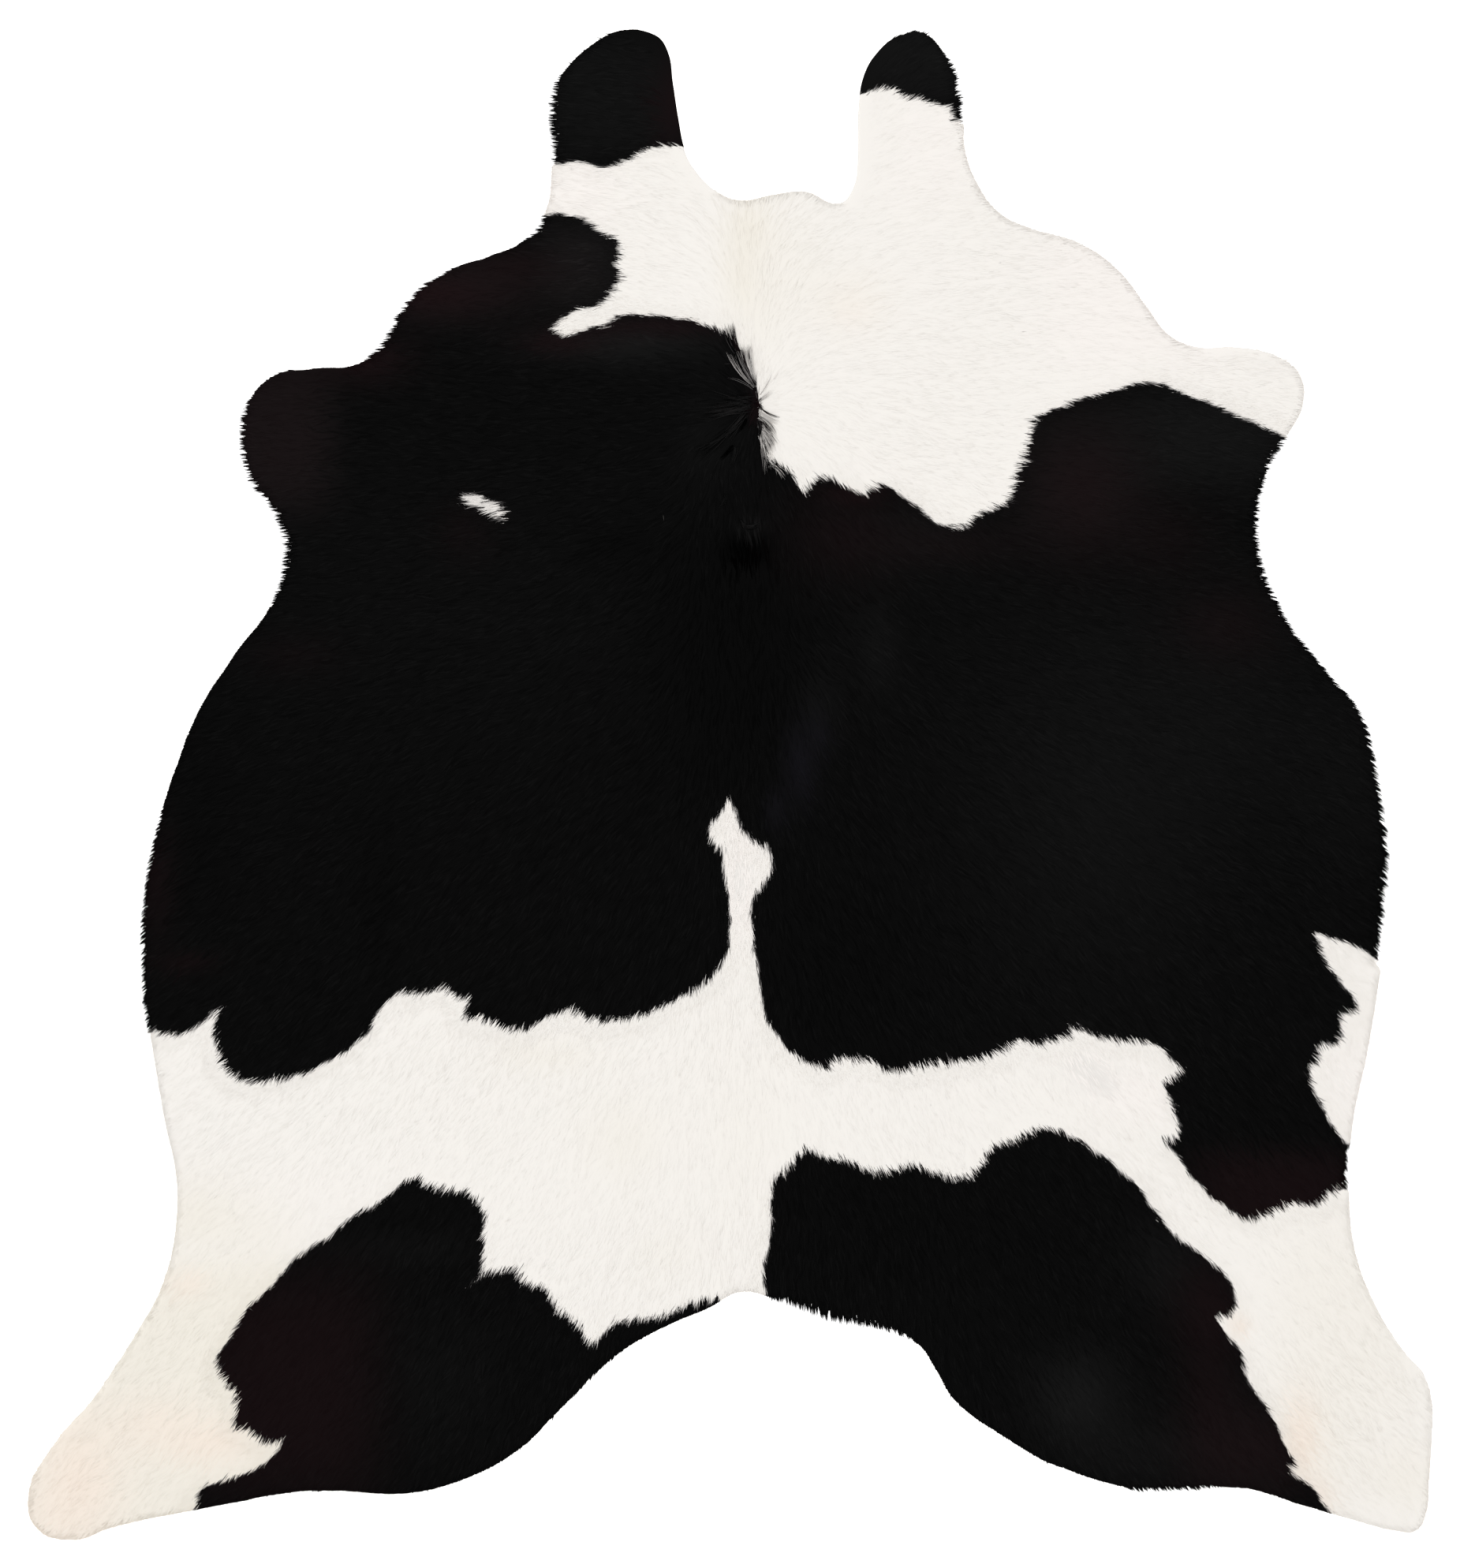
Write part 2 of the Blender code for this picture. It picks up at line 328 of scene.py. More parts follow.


# ---- stains on the coat, and painted sheen and shade on the black: x, y, half width, half height, strength, and how squarely it ends (2 is soft)
stains = {
    "cream": [(25, 765, 32, 45, 0.85, 2), (15, 700, 26, 50, 0.75, 2), (38, 650, 30, 55, 0.25, 2),
              (70, 700, 55, 90, 0.3, 2), (160, 680, 60, 40, 0.25, 2), (-820, -863, 230, 208, 0.95, 16),
              (-740, -600, 80, 60, 0.7, 2), (-640, -640, 60, 60, 0.35, 2), (850, -760, 110, 170, 0.38, 3),
              (930, -960, 60, 50, 0.45, 2), (800, -930, 60, 80, 0.5, 2), (-250, -372, 70, 26, 0.4, 2),
              (-150, -490, 60, 60, 0.35, 2), (-90, -650, 50, 40, 0.2, 2), (20, -480, 60, 110, 0.15, 2)],
    "rust": [(-900, -960, 60, 85, 0.9, 2), (-930, -1010, 50, 40, 0.5, 2), (-790, -885, 75, 40, 0.55, 2),
             (-720, -910, 60, 30, 0.75, 2), (-750, -690, 28, 18, 0.6, 2), (787, -900, 26, 60, 0.8, 2),
             (700, -745, 16, 18, 0.6, 2), (165, 655, 40, 35, 0.2, 2), (812, -985, 22, 30, 0.5, 2)],
    "brown": [(-628, 490, 80, 110, 0.42, 4), (-400, 680, 95, 34, 0.8, 2), (-505, 590, 60, 34, 0.6, 2),
              (-300, 715, 70, 30, 0.45, 2), (-100, 632, 120, 15, 0.5, 2), (-225, 613, 55, 16, 0.55, 2),
              (-80, 940, 22, 60, 0.5, 2), (160, 350, 80, 60, 0.32, 2), (300, 335, 90, 30, 0.24, 2),
              (480, 410, 80, 90, 0.52, 2), (600, 340, 60, 50, 0.2, 2), (680, 220, 70, 50, 0.3, 2),
              (-200, 720, 60, 60, 0.14, 3), (750, -560, 120, 55, 0.52, 4), (-610, -830, 130, 160, 0.52, 4),
              (660, -850, 40, 130, 0.35, 2), (725, -920, 80, 70, 0.5, 2), (660, -720, 50, 60, 0.4, 2),
              (-790, -130, 22, 80, 0.35, 2), (-750, -245, 40, 14, 0.35, 2), (38, 524, 9, 14, 0.6, 2),
              (165, 408, 45, 14, 0.5, 2), (-600, 180, 60, 30, 0.18, 2), (-360, 350, 40, 40, 0.2, 2)],
    # painted sheen: grey lifts where the black hair catches the light, and a pale ridge at 28, 360
    "grey": [(-200, 720, 60, 60, 0.98, 3), (-160, 950, 90, 90, 0.5, 4), (250, 1000, 80, 60, 0.68, 4),
             (650, 480, 130, 70, 0.7, 3), (480, -850, 60, 60, 0.92, 2), (600, -660, 50, 60, 0.5, 2),
             (560, -920, 90, 50, 0.45, 2), (-450, -640, 110, 18, 0.26, 2), (-350, 250, 260, 180, 0.1, 2),
             (500, -20, 170, 260, 0.44, 2), (850, 0, 60, 120, 0.2, 2), (700, 100, 150, 150, 0.25, 2),
             (28, 360, 18, 10, 1, 3), (200, 190, 30, 60, 0.4, 2), (120, 110, 30, 60, 0.35, 2),
             (-400, -820, 80, 90, 0.22, 2), (-500, 700, 40, 60, 0.6, 2), (-625, 480, 80, 100, 0.76, 4),
             (-390, 690, 120, 40, 0.8, 2), (480, 430, 90, 90, 0.6, 3), (-30, 470, 50, 60, 0.25, 2),
             (-140, 612, 120, 30, 0.92, 2), (710, -920, 70, 80, 0.42, 2), (250, 350, 90, 50, 0.4, 2)],
    # painted sheen: a bluish tint where the black hair catches the light
    "blue": [(95, 30, 20, 50, 0.95, 2), (62, -30, 14, 26, 0.7, 2), (120, 75, 16, 26, 0.7, 2)],
    # painted shade: the black made darkest in the hollow below the whorl, and a little darker in a few broad
    # spots
    "hollow": [(22, 326, 34, 22, 1, 3), (0, 180, 110, 190, 0.25, 3), (-150, 330, 60, 30, 0.2, 2),
               (-480, -150, 30, 120, 0.15, 2), (150, -250, 110, 140, 0.15, 2),
               (-730, -50, 50, 140, 0.15, 2), (250, -620, 200, 90, 0.08, 3), (740, -440, 100, 60, 0.05, 3),
               (120, -570, 60, 30, 0.08, 2)],
    "smudge": [(-342, 384, 40, 28, 0.92, 4), (480, -385, 20, 16, 0.55, 2), (510, -412, 26, 20, 0.5, 2),
               (500, -392, 45, 34, 0.3, 2), (745, 575, 16, 12, 0.3, 2), (850, -420, 40, 50, 0.2, 2),
               (12, -125, 26, 90, 0.6, 2), (300, -470, 30, 12, 0.15, 2)],
    "pink": [(560, 680, 150, 110, 0.9, 4), (270, 880, 60, 90, 0.6, 3), (-210, 825, 70, 60, 0.9, 3),
             (560, -430, 60, 40, 0.9, 2), (-600, -560, 140, 40, 0.4, 2), (860, -400, 60, 90, 0.5, 2)],
}


def stained(points, rows):
    clear = np.ones(len(points))
    for x, y, wide, high, strength, square in rows:
        off = np.abs(points - toMetres([(x, y)])[0]) / (np.array([wide, high]) / 1000)
        clear *= 1 - strength * np.exp(-(off ** square).sum(1))
    return 1 - clear


# ---- the hide itself: a closed skin with its pile side finely divided for the colour to follow
hideSizes = {
    "edgeIn": 0.0006,      # the leather stops this far inside the hair's reach, and further at the fringes
    "pileIn": 0.0034,      # the pile's shoulder, from the leather's edge
    "leather": 0.0024,
    "shoulder": 0.0030,
    "pile": 0.0043,
    "fine": 0.0060,        # spacing near a colour edge or the rim
    "coarse": 0.0120,
    "rowStep": 0.866,      # of the spacing, which makes the triangles even
    "jitter": 0.22,        # of the spacing
    "cell": 1.4,           # of the coarse spacing, for telling where the fine one is wanted
    "shoulderGap": 0.0025,     # no point lies nearer to the shoulder
    "ripple": 0.0004,
    "waves": [(9, 4), (-5, 11), (17, -7), (3, -19)],
    "ahead": 0.016,        # the colour edge is looked up again this far ahead of each root
    "seed": 7,
}


rimLoop = drawnIn(outline, hideSizes["edgeIn"] + rimChange(outline)[0])


def lattice(spacing):
    low, high = outline.min(0), outline.max(0)
    xs = np.arange(low[0], high[0], spacing)
    ys = np.arange(low[1], high[1], spacing * hideSizes["rowStep"])
    gridX, gridY = np.meshgrid(xs, ys)
    gridX[1::2] += spacing / 2
    return np.stack([gridX.ravel(), gridY.ravel()], 1)


def pileGrid():
    sizes = hideSizes
    dice = np.random.default_rng(sizes["seed"])
    margin = 0.05
    low = outline.min(0) - margin
    cell = sizes["coarse"] * sizes["cell"]
    steps = np.linspace(0, 1, 4)[:, None, None]
    busy = patchStarts + (patchEnds - patchStarts) * steps
    rim = outline + (np.roll(outline, -1, 0) - outline) * np.linspace(0, 1, 6)[:, None, None]
    marks = np.vstack([busy.reshape(-1, 2), rim.reshape(-1, 2)])
    grid = np.zeros([int(n) for n in (outline.max(0) - low + 2 * margin) / cell], bool)
    column, row = ((marks - low) / cell).astype(int).T
    for dx in (-1, 0, 1):
        for dy in (-1, 0, 1):
            grid[np.clip(column + dx, 0, grid.shape[0] - 1), np.clip(row + dy, 0, grid.shape[1] - 1)] = True
    kept = []
    for spacing, near in ((sizes["fine"], True), (sizes["coarse"], False)):
        points = lattice(spacing)
        points = points + dice.uniform(-sizes["jitter"], sizes["jitter"], points.shape) * spacing
        column, row = ((points - low) / cell).astype(int).T
        kept.append(points[grid[column, row] == near])
    points = np.vstack(kept)
    points = points[insideLoop(points, rimLoop)]
    gap, _ = nearestOn(points, rimLoop, np.roll(rimLoop, -1, 0))
    return points[gap > sizes["pileIn"] + sizes["shoulderGap"]]


def pileTop():
    sizes = hideSizes
    shoulderLoop = drawnIn(rimLoop, sizes["pileIn"])
    inner = pileGrid()
    spots = np.vstack([rimLoop, shoulderLoop, inner])
    around = [(i, (i + 1) % len(rimLoop)) for i in range(len(rimLoop))]
    verts, _, faces, origins, _, _ = delaunay_2d_cdt([tuple(p) for p in spots], around, [], 1, 1e-7)
    flat = np.array([tuple(v) for v in verts])
    kind = np.array([min(o) if o else len(spots) for o in origins])
    rimOf = {int(k): i for i, k in enumerate(kind) if k < len(rimLoop)}
    onRim = kind < len(rimLoop)
    onShoulder = (kind >= len(rimLoop)) & (kind < 2 * len(rimLoop))
    ripple = sum(np.sin(flat @ np.array(wave) + i) for i, wave in enumerate(sizes["waves"]))
    height = sizes["pile"] + sizes["ripple"] * ripple / 2
    height[onShoulder] = sizes["shoulder"]
    height[onRim] = sizes["leather"]
    return flat, height, [tuple(f) for f in faces], rimOf


flat, height, topFaces, rimOf = pileTop()
print("pile side:", len(topFaces), "triangles")

bedRules = {
    "longest": 0.1,             # hair that doesn't lie towards the rim has room for this
    "least": 0.0005,
    "leaving": 0.02,            # how squarely hair must lie to the rim to count as leaving
    "squarest": 0.2,
    "fringeSquarest": 0.35,
    "edgeHair": (0.005, 0.019),     # full this near to a colour edge, none this far
    "rimHair": (0.008, 0.014),
    "whiteBlend": 0.003,
}
rimGap, rimWay = nearestOn(flat, outline, np.roll(outline, -1, 0))
leatherGap, _ = nearestOn(flat, rimLoop, np.roll(rimLoop, -1, 0))
lie = hairWay(flat)
depth = blackDepth(flat)
outward = rimWay / (np.linalg.norm(rimWay, axis=1)[:, None] + 1e-12)
towards = (lie * outward).sum(1)
drawnBack, hairPast = rimChange(flat)
room = (rimGap + hairPast) / np.maximum(towards, bedRules["squarest"])
reach = np.where(towards > bedRules["leaving"], room, bedRules["longest"])
leaving = flat + lie * np.clip(reach, 0, bedRules["longest"])[:, None]
rimSpot = leaving + nearestOn(leaving, outline, np.roll(outline, -1, 0))[1]
doubleWay = [lie[:, 0] ** 2 - lie[:, 1] ** 2, 2 * lie[:, 0] * lie[:, 1]]      # at twice the angle
zeros = np.zeros(len(flat))
topData = {
    "hairWay": np.column_stack([lie, zeros]),
    "doubleWay": np.column_stack([*doubleWay, zeros]),
    "blackDepth": depth,
    "hairReach": np.clip(reach, bedRules["least"], bedRules["longest"]),
    "aheadDepth": blackDepth(flat + lie * hideSizes["ahead"]),
    "nearEdge": 1 - smoothStep(*bedRules["edgeHair"], np.abs(depth)),
    "nearRim": 1 - smoothStep(*bedRules["rimHair"], leatherGap),
    "fringe": np.maximum(drawnBack + hairPast, 0) / np.maximum(towards, bedRules["fringeSquarest"]),
    "rimSpot": np.column_stack([rimSpot, zeros]),
    "whiteSide": 1 - smoothStep(-bedRules["whiteBlend"], bedRules["whiteBlend"], depth),
}
topData.update({name: stained(flat, rows) for name, rows in stains.items()})
print("colour, lie and stains worked out")


def giveData(mesh, data, count):
    for name, values in data.items():
        kind = "FLOAT_VECTOR" if values.ndim == 2 else "FLOAT"
        field = mesh.attributes.new(name, kind, "POINT")
        full = np.zeros((count, 3) if values.ndim == 2 else count, np.float32)
        full[:len(values)] = values
        field.data.foreach_set("vector" if values.ndim == 2 else "value", full.ravel())


def newObject(name, mesh):
    thing = bpy.data.objects.new(name, mesh)
    bpy.context.scene.collection.objects.link(thing)
    return thing


def makeHide():
    sizes = hideSizes
    count = len(outline)
    top = np.column_stack([flat, height])
    rim = [rimOf[i] for i in range(count)]
    under = np.column_stack([flat[rim], np.zeros(count)])
    verts = np.vstack([top, under])
    base = len(top)
    faces = list(topFaces)
    for i in range(count):
        j = (i + 1) % count
        faces.append((rim[j], rim[i], base + i, base + j))
    around = [(i, (i + 1) % count) for i in range(count)]
    _, _, below, origins, _, _ = delaunay_2d_cdt([tuple(p) for p in flat[rim]], around, [], 1, 1e-7)
    faces += [tuple(base + min(origins[k]) for k in reversed(f)) for f in below]
    mesh = bpy.data.meshes.new("cowhide")
    mesh.from_pydata(verts.tolist(), [], faces)
    mesh.update()
    giveData(mesh, topData, len(verts))
    slots = np.zeros(len(mesh.polygons), np.int32)
    slots[len(topFaces):] = 1
    mesh.polygons.foreach_set("material_index", slots)
    mesh.polygons.foreach_set("use_smooth", slots == 0)
    return newObject("cowhide", mesh)


hide = makeHide()


# ---- node trees
def wire(tree, kind, inputs=None, **settings):
    node = tree.nodes.new(kind)
    for name, value in settings.items():
        setattr(node, name, value)
    for name, value in (inputs or {}).items():
        if isinstance(value, bpy.types.NodeSocket):
            tree.links.new(value, node.inputs[name])
        else:
            node.inputs[name].default_value = value
    return node


def maths(tree, operation, *values):
    return wire(tree, "ShaderNodeMath", dict(enumerate(values)), operation=operation).outputs[0]


def sums(tree):
    # plus, minus and times for one tree
    return [partial(maths, tree, operation) for operation in ("ADD", "SUBTRACT", "MULTIPLY")]


def vector(tree, x=0.0, y=0.0, z=0.0):
    return wire(tree, "ShaderNodeCombineXYZ", {"X": x, "Y": y, "Z": z}).outputs[0]


def noise(tree, place, scale, detail, roughness=0.5):
    return wire(tree, "ShaderNodeTexNoise", {"Vector": place, "Scale": scale, "Detail": detail,
                                             "Roughness": roughness}).outputs["Fac"]


def ranged(tree, value, low, high, **settings):
    return wire(tree, "ShaderNodeMapRange", {"Value": value, "From Min": low, "From Max": high},
                **settings).outputs[0]


def addSockets(tree, inputs, kind, output):
    for inputKind, names in inputs.items():
        for name in names:
            tree.interface.new_socket(name, in_out="INPUT", socket_type="NodeSocket" + inputKind)
    tree.interface.new_socket(output, in_out="OUTPUT", socket_type="NodeSocket" + kind)


streakShape = {"directions": 6, "sharpness": 3.0, "roughness": 0.55, "apart": (3.1, 1.7, 5.3)}


def streakGroup():
    # noise drawn out along the hair: one noise for each of several directions, mixed by how the hair lies
    tree = bpy.data.node_groups.new("hair streaks", "ShaderNodeTree")
    addSockets(tree, {"Vector": ["Place", "Lie"], "Float": ["Along", "Across", "Detail"]}, "Float", "Value")
    given = tree.nodes.new("NodeGroupInput").outputs
    plus, _, times = sums(tree)
    stretch = vector(tree, given["Along"], given["Across"])
    total, share = 0.0, 0.0
    for k in range(streakShape["directions"]):
        angle = math.pi * k / streakShape["directions"]
        turned = wire(tree, "ShaderNodeVectorRotate", {"Vector": given["Place"], "Angle": -angle},
                      rotation_type="Z_AXIS").outputs[0]
        drawn = wire(tree, "ShaderNodeVectorMath", {0: turned, 1: stretch}, operation="MULTIPLY").outputs[0]
        away = tuple(k * far for far in streakShape["apart"])
        moved = wire(tree, "ShaderNodeVectorMath", {0: drawn, 1: away}, operation="ADD").outputs[0]
        grain = noise(tree, moved, 1.0, given["Detail"], streakShape["roughness"])
        aim = wire(tree, "ShaderNodeVectorMath",
                   {0: given["Lie"], 1: (math.cos(2 * angle), math.sin(2 * angle), 0)},
                   operation="DOT_PRODUCT").outputs["Value"]
        weight = maths(tree, "POWER", maths(tree, "MAXIMUM", aim, 0.0), streakShape["sharpness"])
        total = plus(times(grain, weight), total)
        share = plus(weight, share)
    value = maths(tree, "DIVIDE", total, maths(tree, "MAXIMUM", share, 0.001))
    out = tree.nodes.new("NodeGroupOutput")
    tree.links.new(value, out.inputs["Value"])
    return tree


streaks = streakGroup()
coat = {
    "white": linear(243, 239.2, 233.8),
    "bright": linear(247, 244, 239),
    "pink": linear(245.5, 240.2, 235.6),
    "cream": linear(238.5, 233, 222),
    "rust": linear(244, 230, 217),
    "smudge": linear(224, 221, 217),
    "black": (0.0025, 0.0025, 0.0025, 1),
    # painted sheen: the grey that the black is lifted to where it catches the light
    "grey": (0.0075, 0.0075, 0.0075, 1),
    "brown": (0.0110, 0.0050, 0.0058, 1),
    # painted sheen: the bluish tint of light on the black hair
    "blue": (0.0062, 0.0058, 0.0076, 1),
    # painted shade: the near-black of the hollow below the whorl
    "hollow": (0.0001, 0.0001, 0.0001, 1),
    "shade": linear(215, 210, 205),
    "shine": (0.008, 0.008, 0.008, 1),
    "lightGain": 0.935,     # how much of the screen white is the hair's own, the rest is light
    "roughness": 0.7,
    "specular": 0.006,
}
# streaks of the pile under the locks: how many a metre along the hair and across it, and their detail
pileStreaks = {"tuft": (1 / 0.026, 1 / 0.0030, 2.0), "fine": (60.0, 620.0, 3.0), "wide": (9.0, 60.0, 2.0)}
pileLook = {
    "jag": 0.030,           # how far the colour edge wanders with the tufts
    "halfEdge": 0.0020,
    "fineShade": 0.02,
    "wideShade": 0.015,
    "fineShine": 0.12,
    "bump": 0.15,
    "bumpHeight": 0.0003,
}


def newMaterial(name):
    material = bpy.data.materials.new(name)
    material.use_nodes = True
    tree = material.node_tree
    return material, tree, tree.nodes["Principled BSDF"]


def blend(tree, share, first, second):
    mix = wire(tree, "ShaderNodeMix", data_type="RGBA")
    for index, value in ((0, share), (6, first), (7, second)):
        if isinstance(value, bpy.types.NodeSocket):
            tree.links.new(value, mix.inputs[index])
        else:
            mix.inputs[index].default_value = value
    return mix.outputs[2]


def dimmed(colour, gain):
    return tuple(c * gain for c in colour[:3]) + (1.0,)


def finish(tree, shader, colour, roughness, specular):
    tree.links.new(colour, shader.inputs["Base Color"])
    shader.inputs["Roughness"].default_value = roughness
    shader.inputs["Specular IOR Level"].default_value = specular


def bumpy(tree, shader, height, strength, distance):
    bump = wire(tree, "ShaderNodeBump", {"Strength": strength, "Distance": distance, "Height": height})
    tree.links.new(bump.outputs[0], shader.inputs["Normal"])


def pileMaterial():
    material, tree, shader = newMaterial("black and white pile")
    plus, minus, times = sums(tree)
    place = tree.nodes.new("ShaderNodeTexCoord").outputs["Object"]

    def field(name, output="Fac"):
        return wire(tree, "ShaderNodeAttribute", attribute_name=name).outputs[output]

    def streak(kind):
        along, across, detail = pileStreaks[kind]
        given = {"Place": place, "Lie": field("doubleWay", "Vector"), "Along": along, "Across": across,
                 "Detail": detail}
        return wire(tree, "ShaderNodeGroup", given, node_tree=streaks).outputs[0]

    look, gain = pileLook, coat["lightGain"]
    fine = streak("fine")
    side = plus(field("blackDepth"), times(minus(streak("tuft"), 0.5), look["jag"]))
    black = ranged(tree, side, -look["halfEdge"], look["halfEdge"], interpolation_type="SMOOTHSTEP")
    light = dimmed(coat["white"], gain)
    for name in ("pink", "cream", "rust", "smudge"):
        light = blend(tree, field(name), light, dimmed(coat[name], gain))
    shade = plus(times(fine, look["fineShade"]), times(streak("wide"), look["wideShade"]))
    light = blend(tree, shade, light, coat["shade"])
    dark = coat["black"]
    # brown is the hair's own colour; the grey and blue lifts are painted sheen, and the hollow's darkening is
    # painted shade
    for name in ("grey", "brown", "blue", "hollow"):
        dark = blend(tree, field(name), dark, coat[name])
    dark = blend(tree, times(fine, look["fineShine"]), dark, coat["shine"])
    bumpy(tree, shader, fine, look["bump"], look["bumpHeight"])
    finish(tree, shader, blend(tree, black, light, dark), coat["roughness"], coat["specular"])
    return material


suedeLook = {
    "dull": linear(216, 205, 187), "pale": linear(233, 226, 214), "nap": linear(192, 178, 158),
    "cloudScale": 7.0, "cloudDetail": 4.0, "napScale": 900.0, "napDetail": 3.0, "napShare": 0.25,
    "bump": 0.4, "bumpHeight": 0.0005, "roughness": 0.95, "specular": 0.1,
}


def suedeMaterial():
    material, tree, shader = newMaterial("suede flesh side")
    look = suedeLook
    place = tree.nodes.new("ShaderNodeTexCoord").outputs["Object"]
    nap = noise(tree, place, look["napScale"], look["napDetail"])
    cloud = noise(tree, place, look["cloudScale"], look["cloudDetail"])
    colour = blend(tree, cloud, look["dull"], look["pale"])
    colour = blend(tree, maths(tree, "MULTIPLY", nap, look["napShare"]), colour, look["nap"])
    bumpy(tree, shader, nap, look["bump"], look["bumpHeight"])
    finish(tree, shader, colour, look["roughness"], look["specular"])
    return material


# tone runs along this strip from deep black to bright white, and each lock has one tone; its tint is
# brown and a bluish painted sheen on the dark half, rust and cream on the light half
toneStrip = [
    # the first step is painted shade for the hollow, and the grey step is painted sheen
    (0.00, coat["hollow"]), (0.10, coat["black"]), (0.22, coat["grey"]), (0.36, (0.028, 0.026, 0.026, 1)),
    (0.46, linear(100, 98, 97)), (0.54, linear(150, 146, 144)), (0.62, linear(205, 201, 197)),
    (0.70, coat["smudge"]), (0.80, coat["pink"]), (0.90, coat["white"]), (1.00, coat["bright"]),
]
rootShade = {"darkest": 0.985, "until": 0.6}    # a lock is a little darker from its root to here


def lockMaterial():
    material, tree, shader = newMaterial("hair locks")
    gain = coat["lightGain"]

    def mapped(name):
        where = wire(tree, "ShaderNodeUVMap", uv_map=name).outputs["UV"]
        return wire(tree, "ShaderNodeSeparateXYZ", {0: where}).outputs

    tone, tint = mapped("hairTone"), mapped("hairTint")
    strip = wire(tree, "ShaderNodeValToRGB", {"Fac": tone[0]})
    points = strip.color_ramp.elements
    while len(points) < len(toneStrip):
        points.new(0.5)
    for point, (position, colour) in zip(points, toneStrip):
        point.position = position
        point.color = dimmed(colour, gain) if position > 0.5 else colour
    # the dark locks take brown, their own colour, and a bluish painted sheen
    dark = blend(tree, tint[0], strip.outputs["Color"], coat["brown"])
    dark = blend(tree, tint[1], dark, coat["blue"])
    light = blend(tree, tint[1], strip.outputs["Color"], dimmed(coat["cream"], gain))
    light = blend(tree, tint[0], light, dimmed(coat["rust"], gain))
    colour = blend(tree, maths(tree, "GREATER_THAN", tone[0], 0.5), dark, light)
    root = wire(tree, "ShaderNodeMapRange",
                {"Value": tone[1], "From Min": 0.0, "From Max": rootShade["until"],
                 "To Min": rootShade["darkest"], "To Max": 1.0}).outputs[0]
    colour = blend(tree, root, (0.0, 0.0, 0.0, 1), colour)
    finish(tree, shader, colour, coat["roughness"], coat["specular"])
    return material


pile, suede, lockHair = pileMaterial(), suedeMaterial(), lockMaterial()
hide.data.materials.append(pile)
hide.data.materials.append(suede)
print("materials made")

# ---- the locks: a bed with the pile side's data, and one small leaf-shaped lock laid on it many times
bedMesh = bpy.data.meshes.new("hair bed")
bedMesh.from_pydata(np.column_stack([flat, height]).tolist(), [], topFaces)
giveData(bedMesh, topData, len(flat))
widest = 0.36       # where along its length a lock is widest


def makeLeaf():
    mesh = bpy.data.meshes.new("lock")
    mesh.from_pydata([(0, 0, 0), (widest, 0.5, -0.5), (widest, -0.5, -0.5), (1, 0, 0)], [],
                     [(0, 3, 1), (0, 2, 3), (0, 1, 2), (1, 3, 2)])
    for name, values in (("along", (0, widest, widest, 1)), ("aside", (0, 1, -1, 0))):
        mesh.attributes.new(name, "FLOAT", "POINT").data.foreach_set("value", values)
    return newObject("lock leaf", mesh)


leafObject = makeLeaf()

lockDice = {
    # what differs from lock to lock: lowest, highest, and what is added to the seed
    "stray": (-1.0, 1.0, 11), "pitch": (0.2, 1.6, 12), "length": (0.55, 1.35, 13), "overhang": (0.0, 1.0, 14),
    "width": (0.6, 1.5, 15), "colourEdge": (-0.0016, 0.0016, 16), "lightTone": (0.88, 0.92, 17),
    "darkTone": (0.085, 0.140, 18), "bold": (0.0, 1.0, 19),
}
lockRules = {
    "curlScale": 38.0,      # how fast the lie wanders, and by how many radians, less near the rim
    "curlMost": 1.3,
    "rimDip": 0.06,         # radians that the locks at the rim point down
    "bunchScale": 300.0,    # bunches of hair at the fringes, and how narrow the gaps between them are
    "bunchGap": 0.115,
    "boldCurve": 0.7,
    "boldGain": 4.0,
    "fringeMost": 0.0036,   # no lock hangs further past its reach than this
    "fringeWiden": 22.0,
    "shortest": 0.0015,
    "colourAt": 0.64,       # how far along the lock its colour is read
    "spike": 0.034,         # how far tufts of one colour reach into the other, along the hair and across
    "ragged": 0.006,
    "tuftScale": 170.0,
    "tuftStep": 0.004,
    "halfEdge": 0.0020,
    "pinkTone": 0.09,       # what the stains, the painted sheen and the painted shade take off the tone or add to it
    "smudgeTone": 0.20,
    "greySheenTone": 0.11,
    "hollowShadeTone": 0.14,
}
# one more map, for baking: tone runs across it and tint up, so locks of one colour share a small spot
bakeMap = {"name": "OFBake", "rim": 0.01, "fill": 0.97, "halfWide": 0.003, "high": 0.008}


